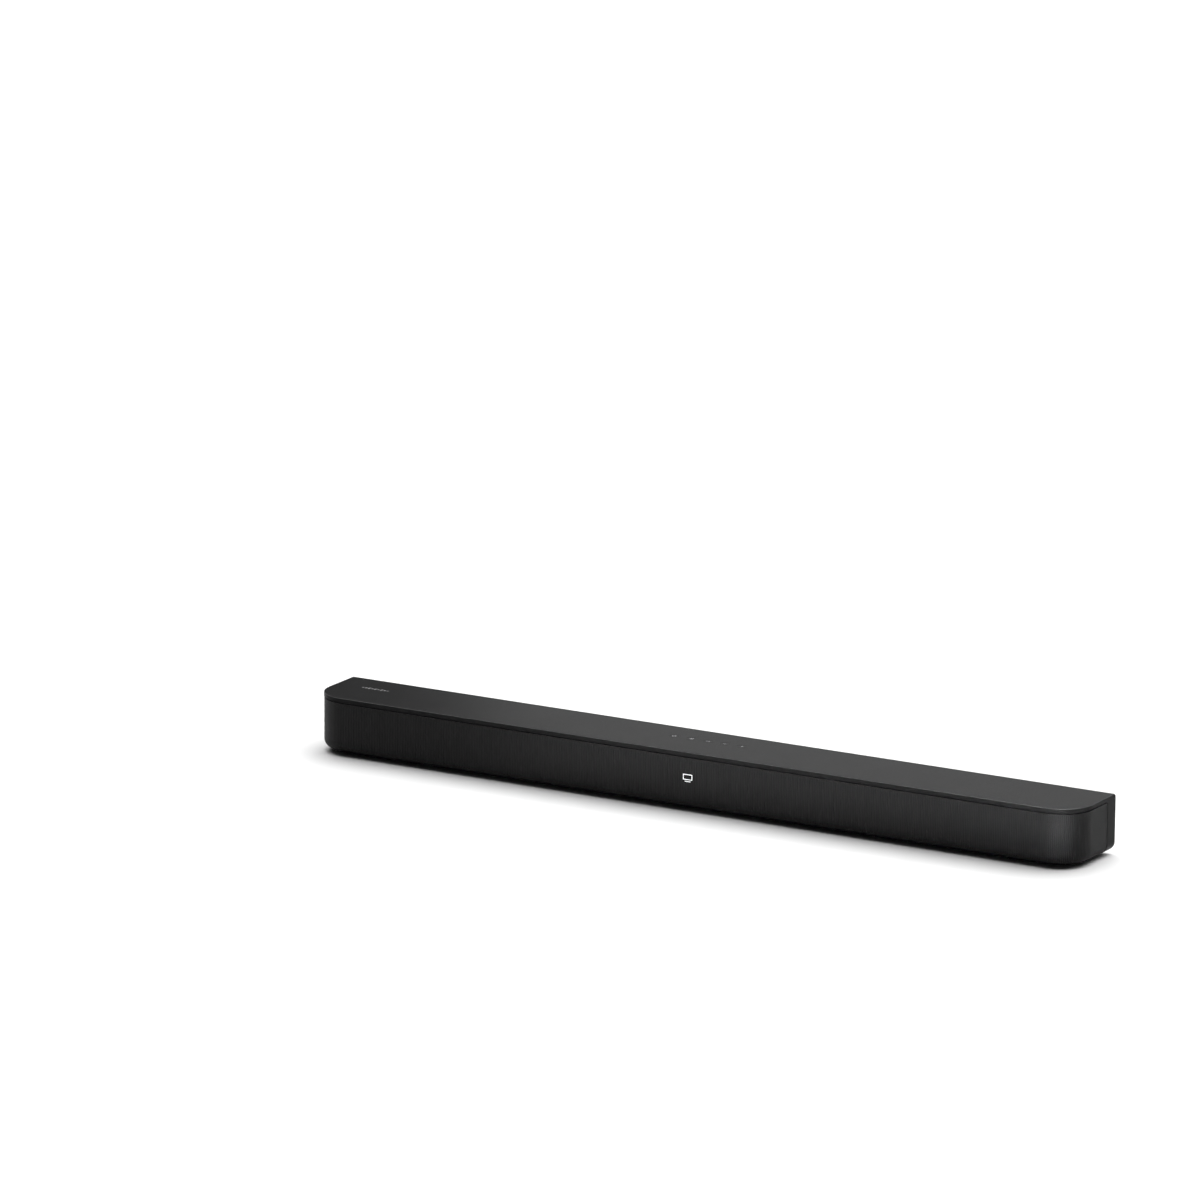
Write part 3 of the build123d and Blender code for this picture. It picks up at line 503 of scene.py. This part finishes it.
# %% Finishes of the parts inside, the label, the inks and the cloth
board_green = board_finish("board_green", (0.010, 0.075, 0.022), (0.03, 0.19, 0.06))
board_blue = board_finish("board_blue", (0.008, 0.030, 0.095), (0.03, 0.10, 0.24))
copper_wire = wound_finish("copper_wire", (0.62, 0.24, 0.10), 2200, "Y")
chip_black = grained("chip_black", (0.016, 0.016, 0.016), 0.50, 1400, 0.00003)
fin_alloy = grained("fin_alloy", (0.58, 0.58, 0.60), 0.35, 900, 0.00002, metal=1.0, stretch=(1, 8, 1))
can_sleeve = grained("can_sleeve", (0.020, 0.025, 0.060), 0.35, 700, 0.00002)
box_moulded = grained("box_moulded", (0.016, 0.016, 0.017), 0.60, 900, 0.00006)
basket_black = grained("basket_black", (0.014, 0.014, 0.015), 0.40, 1600, 0.00002, metal=0.3)
ferrite = grained("ferrite", (0.045, 0.045, 0.048), 0.70, 1100, 0.00005, mottle=0.25)
cone_pulp = grained("cone_pulp", (0.020, 0.020, 0.020), 0.85, 500, 0.00015, shine=0.25, mottle=0.3)
roll_rubber = grained("roll_rubber", (0.013, 0.013, 0.013), 0.55, 1200, 0.00002)
spider_cloth = wound_finish("spider_cloth", (0.42, 0.27, 0.10), 1200, "X")
wadding = grained("wadding", (0.72, 0.72, 0.70), 0.95, 420, 0.0008, shine=0.1, mottle=0.2)
lead_rubber = grained("lead_rubber", (0.020, 0.020, 0.020), 0.45, 1500, 0.00001)
ribbon_white = wound_finish("ribbon_white", (0.70, 0.70, 0.68), 500, "X")
window_smoke = grained("window_smoke", (0.004, 0.004, 0.005), 0.12, 600, 0.000002)
label_film = grained("label_film", (0.050, 0.050, 0.053), 0.30, 1800, 0.000005, mottle=0.06)
sign_ink = grained("sign_ink", (0.38, 0.38, 0.39), 0.55, 2500, 0.00001, mottle=0.06)
mark_ink = grained("mark_ink", (0.21, 0.21, 0.213), 0.50, 2500, 0.00001, mottle=0.06)
scrim_weave = weave_finish("scrim_weave", (0.010, 0.010, 0.0105), across=2800, along=170)

# %% [markdown]
# The sign behind the grille is lit: a white diffuser glows almost evenly, with a faint cloudiness from
# the diode behind it. A small lamp behind a clear part would be truer, but it would be noisy to
# render, so the diffuser itself emits the light.

# %% Lit finish
lit_white, lit_nodes, lit_links, lit_shader, lit_place = new_finish("lit_white")
diffuser_cloud = noise_at(lit_nodes, lit_links, lit_place, 120)
lit_links.new(tinted(lit_nodes, lit_links, diffuser_cloud, (0.90, 0.92, 0.95), (1, 1, 1)),
              lit_shader.inputs["Emission Color"])
lit_shader.inputs["Base Color"].default_value = (0.9, 0.9, 0.9, 1)
lit_shader.inputs["Emission Strength"].default_value = 0.45
print("finishes:", len(bpy.data.materials))

# %% [markdown]
# ## Finishes on the CAD nodes
#
# The cabinet, keys, drivers, boards and sockets have their right shape in the CAD, so they stay as they
# are and only get their finish. A table of finishes and node names does it in one loop, and the print
# at the end shows whether a node was forgotten.

# %% Dress the CAD nodes
dressed = {
    cabinet_satin: ["top_cover", "rear_panel", "power_key", "input_key", "pairing_key",
                    "volume_down_key", "volume_up_key"],
    cover_matte: ["bottom_cover"],
    grille_coat: ["grille"],
    scrim_weave: ["scrim"],
    frame_matte: ["front_frame"],
    tray_matte: ["cable_bay", "inlet_bay"],
    foot_rubber: ["rubber_feet"],
    foam: ["driver_gaskets", "box_seals"],
    mark_ink: ["level_mark"],
    label_film: ["rating_label"],
    lit_white: ["status_light"],
    window_smoke: ["display_module", "remote_eye"],
    board_green: ["main_board", "power_board", "key_board", "display_board"],
    board_blue: ["wireless_module"],
    chip_black: ["board_chips", "output_coils", "key_switches", "transformer", "fuse"],
    fin_alloy: ["heat_sink"],
    can_sleeve: ["board_capacitors", "bulk_capacitors"],
    box_moulded: ["speaker_boxes"],
    basket_black: ["baskets"],
    zinc: ["motor_steel", "cover_screws", "frame_screws", "driver_screws", "board_screws",
           "key_board_screws"],
    ferrite: ["magnets"],
    cone_pulp: ["left_cone", "right_cone"],
    copper_wire: ["left_coil", "right_coil"],
    roll_rubber: ["left_surround", "right_surround"],
    spider_cloth: ["left_spider", "right_spider"],
    wadding: ["damping_pads"],
    nickel: ["video_socket", "service_socket"],
    socket_black: ["optical_socket", "inlet_body"],
    pin_brass: ["inlet_pins"],
    lead_rubber: ["speaker_leads", "power_leads"],
    ribbon_white: ["flat_cables"],
}
for finish, names in dressed.items():
    for name in names:
        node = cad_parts[name]
        node.data.materials.clear()
        node.data.materials.append(finish)
bare = set(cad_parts) - {name for names in dressed.values() for name in names}
print("CAD nodes without a finish:", sorted(bare))

# %% [markdown]
# ## Grille
#
# The real grille is a moulding of several hundred fine upright ribs. A bump pattern would look flat
# from close by, so the ribs are real: one is modelled, a small rounded section drawn down the front,
# turned under on the bottom curve and run out on the lip. It is then copied every 2 mm along the
# front, round the corners and along the ends.

# %% One rib of the grille
grille_low, grille_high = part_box("grille")
INSET = 0.0003                      # from the outside form to the grille's face
WALL = 0.0012                       # the grille's thickness
CORNER = 0.036                      # plan radius of the front corners, outside form
UNDER = 0.010                       # radius under the front and ends, outside form
LIP = 0.012                         # how far the lip runs under the bar
PITCH = 0.002                       # from rib to rib
RIB = 0.0017                        # a rib's width
RIB_ROUND = 0.0003                  # rounding of a rib's two front edges
RAIL = 0.0009                       # width of the rail that frames the ribs
RIB_SHORT = 0.0005                  # how far a rib stops short of the lip, inside the lip rail
UNDER_STEPS = 6                     # faces round the under curve

face_y = grille_low.y
end_y = grille_high.y
top_z = grille_high.z
base_z = grille_low.z
side_x = grille_high.x
corner_x = side_x + INSET - CORNER
corner_y = face_y - INSET + CORNER
radius = CORNER - INSET
under = UNDER - INSET
turn_z = base_z + under


def make_rib():
    """A rib at the middle of the front."""
    start_clean()
    start_z = top_z - RAIL / 2
    bpy.ops.mesh.primitive_plane_add(size=1, location=(0, face_y + WALL / 2, start_z))
    rib = bpy.context.object
    rib.scale = (RIB, WALL, 1)
    bpy.ops.object.transform_apply(location=True, rotation=False, scale=True)
    bpy.ops.object.mode_set(mode="EDIT")
    select_where(rib, "VERT", lambda co: co.y < face_y + WALL / 2)
    bpy.ops.mesh.bevel(offset=RIB_ROUND, segments=2, affect="VERTICES")
    bpy.ops.mesh.select_mode(type="FACE")
    bpy.ops.mesh.select_all(action="SELECT")
    grow((0, 0, turn_z - start_z))
    turn((0, face_y + under, turn_z), (1, 0, 0), 90, UNDER_STEPS)
    grow((0, LIP - UNDER - RIB_SHORT, 0))
    bpy.ops.object.mode_set(mode="OBJECT")
    face_out(rib)
    return rib


rib = make_rib()
print("rib from and to, in mm:", extent(rib))


# %% [markdown]
# An array modifier can repeat the rib along a straight line, but not round the corners with the same
# spacing. So every copy gets its own mesh, moved by a matrix: a shift along the front and the ends,
# and a turn about the corner's centre in between.


# %% Helpers for copies
def copy_of(piece, move):
    """A copy with its own mesh, moved by a matrix."""
    twin = piece.copy()
    twin.data = piece.data.copy()
    twin.data.transform(move)
    bpy.context.scene.collection.objects.link(twin)
    return twin


def about(x, y, degrees):
    """A turn about an upright axis through (x, y)."""
    centre = Matrix.Translation((x, y, 0))
    return centre @ Matrix.Rotation(math.radians(degrees), 4, "Z") @ centre.inverted()


def joined(parts):
    """All the parts as one mesh."""
    start_clean()
    for part in parts:
        part.select_set(True)
    bpy.context.view_layer.objects.active = parts[0]
    if len(parts) > 1:
        bpy.ops.object.join()
    return parts[0]


# %% Copy the rib along the front, round the corners and along the ends
front_count = round(2 * corner_x / PITCH)
corner_count = round(radius * math.pi / 2 / PITCH)
end_length = end_y - RAIL - corner_y
end_count = round(end_length / PITCH)

ribs = []
for i in range(front_count):
    ribs.append(copy_of(rib, Matrix.Translation(((i + 0.5) * PITCH - corner_x, 0, 0))))
for side in (-1, 1):
    at_corner = Matrix.Translation((side * corner_x, 0, 0))
    for i in range(corner_count):
        swing = about(side * corner_x, corner_y, side * (i + 0.5) * 90 / corner_count)
        ribs.append(copy_of(rib, swing @ at_corner))
    quarter = about(side * corner_x, corner_y, side * 90)
    for i in range(end_count):
        run = Matrix.Translation((0, (i + 0.5) * end_length / end_count, 0))
        ribs.append(copy_of(rib, run @ quarter @ at_corner))
bpy.data.objects.remove(rib)
print("ribs:", len(ribs))

# %% [markdown]
# Two rails frame the ribs, each a small rectangular section that is swept along its path. The upper
# one starts at the lip of one end, turns up round the under curve, rises to the small radius that
# gives the grille its rounded upper rear corner, runs forward, round the front and back, and goes
# down again at the other end. The lip rail follows the lip under the bar. Boxes and booleans could
# make them too, but a sweep keeps clean four-sided faces and no seams. Both rails stand a hair proud
# of the ribs, so that their faces don't coincide with a rib's.


# %% Helpers for sweeps
def section(centre, size, tilt):
    """A small rectangle at the start of a sweep, tilted in degrees to face along it."""
    start_clean()
    rotation = [math.radians(degrees) for degrees in tilt]
    bpy.ops.mesh.primitive_plane_add(size=1, location=centre, rotation=rotation)
    piece = bpy.context.object
    piece.scale = (size[0], size[1], 1)
    bpy.ops.object.transform_apply(location=True, rotation=True, scale=True)
    bpy.ops.object.mode_set(mode="EDIT")
    bpy.ops.mesh.select_all(action="SELECT")
    return piece


def round_the_front(start_y, steps):
    """Sweep the selection from start_y at the right end, round the front and back to start_y."""
    grow((0, corner_y - start_y, 0))
    turn((corner_x, corner_y, 0), (0, 0, 1), -90, steps)
    grow((-2 * corner_x, 0, 0))
    turn((-corner_x, corner_y, 0), (0, 0, 1), -90, steps)
    grow((0, start_y - corner_y, 0))


# %% Rails that frame the ribs
PROUD = 0.00005                     # how far the rails stand out from the ribs
REAR_ROUND = 0.004                  # radius of the upper rear corners
REAR_STEPS = 6                      # faces round such a corner
RAIL_STEPS = 16                     # faces of a rail round a front corner
LIP_RAIL = 0.0016                   # width of the rail under the lip
round_y = end_y - REAR_ROUND
round_z = top_z - REAR_ROUND
rail_wall = WALL + 2 * PROUD
under_x = side_x - under

lip_run = LIP - UNDER
upper_rail = section(centre=(under_x - lip_run, end_y - RAIL / 2, base_z + WALL / 2),
                     size=(rail_wall, RAIL), tilt=(0, 90, 0))
grow((lip_run, 0, 0))
turn((under_x, 0, turn_z), (0, 1, 0), -90, UNDER_STEPS)
grow((0, 0, round_z - turn_z))
turn((0, round_y, round_z), (1, 0, 0), 90, REAR_STEPS)
round_the_front(round_y, RAIL_STEPS)
turn((0, round_y, round_z), (1, 0, 0), -90, REAR_STEPS)
grow((0, 0, turn_z - round_z))
turn((-under_x, 0, turn_z), (0, 1, 0), -90, UNDER_STEPS)
grow((lip_run, 0, 0))
bpy.ops.object.mode_set(mode="OBJECT")

lip_end = end_y - RAIL / 3
lip_rail = section(centre=(side_x + INSET - LIP + LIP_RAIL / 2, lip_end, base_z + WALL / 2),
                   size=(LIP_RAIL, WALL + PROUD), tilt=(90, 0, 0))
round_the_front(lip_end, RAIL_STEPS)
bpy.ops.object.mode_set(mode="OBJECT")

rails = [upper_rail, lip_rail]
for rail in rails:
    face_out(rail)
    print("rail from and to, in mm:", extent(rail))

# %% Join the grille
grille = joined(ribs + rails)
finish_piece(grille, "slotted_grille", grille_coat, sharp=40)
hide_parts("grille")

# %% [markdown]
# ## Cloth behind the ribs
#
# A thin black cloth is stretched over the inner frame and keeps dust and glances out. It is a real
# sheet, so it is made as one: its section is a line drawn at one rear end, down the wall, round the
# under curve and out on the lip, and is then swept along the front and round both corners. A cloth
# simulation would add nothing, because the cloth is stretched tight and has no folds. Only at the end
# does it get its thickness.

# %% Sweep the cloth
CLOTH_INSET = 0.0017                # from the outside form to the cloth
CLOTH_THICK = 0.0003
CLOTH_STEPS = 24                    # faces of the cloth round a front corner
FOLD_STEPS = 8                      # and round the under curve
cloth_radius = CORNER - CLOTH_INSET
cloth_under = UNDER - CLOTH_INSET
cloth_x = corner_x + cloth_radius

start_clean()
bpy.ops.mesh.primitive_plane_add(size=0.001, location=(cloth_x, end_y, top_z))
cloth = bpy.context.object
bpy.ops.object.transform_apply(location=True, rotation=False, scale=False)
bpy.ops.object.mode_set(mode="EDIT")
bpy.ops.mesh.select_mode(type="VERT")
bpy.ops.mesh.select_all(action="SELECT")
bpy.ops.mesh.merge(type="CENTER")
grow((0, 0, turn_z - top_z))
turn((cloth_x - cloth_under, 0, turn_z), (0, 1, 0), 90, FOLD_STEPS)
grow((-lip_run, 0, 0))
bpy.ops.mesh.select_all(action="SELECT")
round_the_front(end_y, CLOTH_STEPS)
bpy.ops.object.mode_set(mode="OBJECT")
face_out(cloth)
print("cloth faces:", len(cloth.data.polygons))

# %% [markdown]
# The flat size follows from the sweep: its width is the run round the front, its height the section's
# length. The same two lengths give every point its place on the flat cloth, so the weave runs square
# to the edges everywhere.

# %% Lay out the cloth's map
cloth_width = 2 * (end_y - corner_y) + math.pi * cloth_radius + 2 * corner_x
cloth_height = top_z - turn_z + cloth_under * math.pi / 2 + lip_run


def place_on_cloth(co):
    """How far along and how far down the flat cloth a point lies, each from 0 to 1."""
    side = math.copysign(1, co.x)
    out, fore = abs(co.x) - corner_x, corner_y - co.y
    round_corner = cloth_radius * math.atan2(max(out, 0), max(fore, 1e-9))
    along = co.x if out <= 0 else side * (corner_x + round_corner + max(0, -fore))
    inward = cloth_radius - math.hypot(max(out, 0), max(fore, 0))
    lean = math.asin(min(1, max(0, (turn_z - co.z) / cloth_under)))
    down = min(top_z - co.z, top_z - turn_z) + cloth_under * lean + max(0, inward - cloth_under)
    return along / cloth_width + 0.5, 1 - down / cloth_height


flat_map = cloth.data.uv_layers.new(name="flat_cloth")
for loop in cloth.data.loops:
    flat_map.data[loop.index].uv = place_on_cloth(cloth.data.vertices[loop.vertex_index].co)
print("flat cloth", round(cloth_width, 4), "by", round(cloth_height, 4))

# %% Give the cloth its thickness
thickness = cloth.modifiers.new("thickness", "SOLIDIFY")
thickness.thickness = CLOTH_THICK
thickness.offset = 0
only(cloth)
bpy.ops.object.modifier_apply(modifier=thickness.name)
finish_piece(cloth, "scrim_cloth", scrim_weave)
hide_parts("scrim")

# %% [markdown]
# ## Signs on the keys
#
# The five keys carry small printed signs, just below the flat of the key caps. They are thin pads of
# ink: a ring with a stem for power, a frame with an arrow for the input, a dot with arcs for pairing,
# and a bar and a cross for the volume. A texture could show them as well, but real pads keep sharp
# edges from close by. Each sign is drawn round the origin, moved to its key and rides with it, so it
# sinks when the key is pressed.

# %% Helpers for printed signs
INK_TOP = -0.00002                  # the ink's top, from the key's top
INK = 0.00013                       # the ink's thickness
SOFT_CORNER = 0.3                   # rounding of a bar's corners, as a share of its width
RING_STEPS = 28                     # faces along an arc


def ink_bar(x, y, width, tall):
    """A bar of ink with softened corners, centred at x, y on a key at the origin."""
    start_clean()
    bpy.ops.mesh.primitive_cube_add(size=1, location=(x, y, INK_TOP - INK / 2))
    bar = bpy.context.object
    bar.scale = (width, tall, INK)
    bpy.ops.object.transform_apply(location=True, rotation=False, scale=True)
    bpy.ops.object.mode_set(mode="EDIT")
    select_where(bar, "EDGE", lambda co: abs(co.z - INK_TOP + INK / 2) < INK / 10)
    bpy.ops.mesh.bevel(offset=min(width, tall) * SOFT_CORNER, segments=3, affect="EDGES")
    bpy.ops.object.mode_set(mode="OBJECT")
    return bar


def ink_ring(outer, inner, start, end):
    """An arc of ink round the origin, from one angle to another in degrees."""
    ring = section(centre=((outer + inner) / 2, 0, INK_TOP - INK / 2), size=(outer - inner, INK),
                   tilt=(90, 0, 0))
    bpy.ops.object.mode_set(mode="OBJECT")
    ring.data.transform(Matrix.Rotation(math.radians(start), 4, "Z"))
    bpy.ops.object.mode_set(mode="EDIT")
    turn((0, 0, 0), (0, 0, 1), end - start, RING_STEPS)
    bpy.ops.object.mode_set(mode="OBJECT")
    face_out(ring)
    return ring


def ink_dot(x, radius, corners):
    """A dot of ink, or an arrow head that points along +X when it has three corners."""
    start_clean()
    bpy.ops.mesh.primitive_cylinder_add(vertices=corners, radius=radius, depth=INK,
                                        location=(x, 0, INK_TOP - INK / 2),
                                        rotation=(0, 0, math.radians(-90)))
    bpy.ops.object.transform_apply(location=True, rotation=True, scale=True)
    return bpy.context.object


# %% Print the signs
def print_sign(key, parts):
    """Join the parts of a sign, move it to its key and let it ride on that key."""
    key_low, key_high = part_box(key + "_key")
    sign = joined(parts)
    sign.location = ((key_low.x + key_high.x) / 2, (key_low.y + key_high.y) / 2, key_high.z)
    finish_piece(sign, key + "_sign", sign_ink, body=key + "_push")


LINE = 0.0005                       # the width of a drawn line
ARC = 0.00045                       # and of an arc
BAR = 0.0036                        # the length of the volume bars
FRAME = 0.0028                      # the input frame's width

print_sign("power", [ink_ring(0.0022, 0.0022 - LINE, 113, 427), ink_bar(0, 0.0019, LINE, 0.0022)])
print_sign("input", [ink_bar(0.0009, 0.00175, FRAME, LINE), ink_bar(0.0009, -0.00175, FRAME, LINE),
                     ink_bar(0.00205, 0, LINE, 0.003), ink_bar(-0.00025, 0.00115, LINE, 0.0007),
                     ink_bar(-0.00025, -0.00115, LINE, 0.0007), ink_bar(-0.0011, 0, 0.0026, LINE),
                     ink_dot(0.0006, 0.0008, 3)])
print_sign("pairing", [ink_ring(0.0022, 0.0022 - ARC, -30, 30), ink_ring(0.0022, 0.0022 - ARC, 150, 210),
                       ink_ring(0.0013, 0.0013 - ARC, -50, 50), ink_ring(0.0013, 0.0013 - ARC, 130, 230),
                       ink_dot(0, ARC, 20)])
print_sign("volume_down", [ink_bar(0, 0, BAR, LINE)])
print_sign("volume_up", [ink_bar(0, 0, BAR, LINE), ink_bar(0, 0.00103, LINE, 0.00155),
                         ink_bar(0, -0.00103, LINE, 0.00155)])
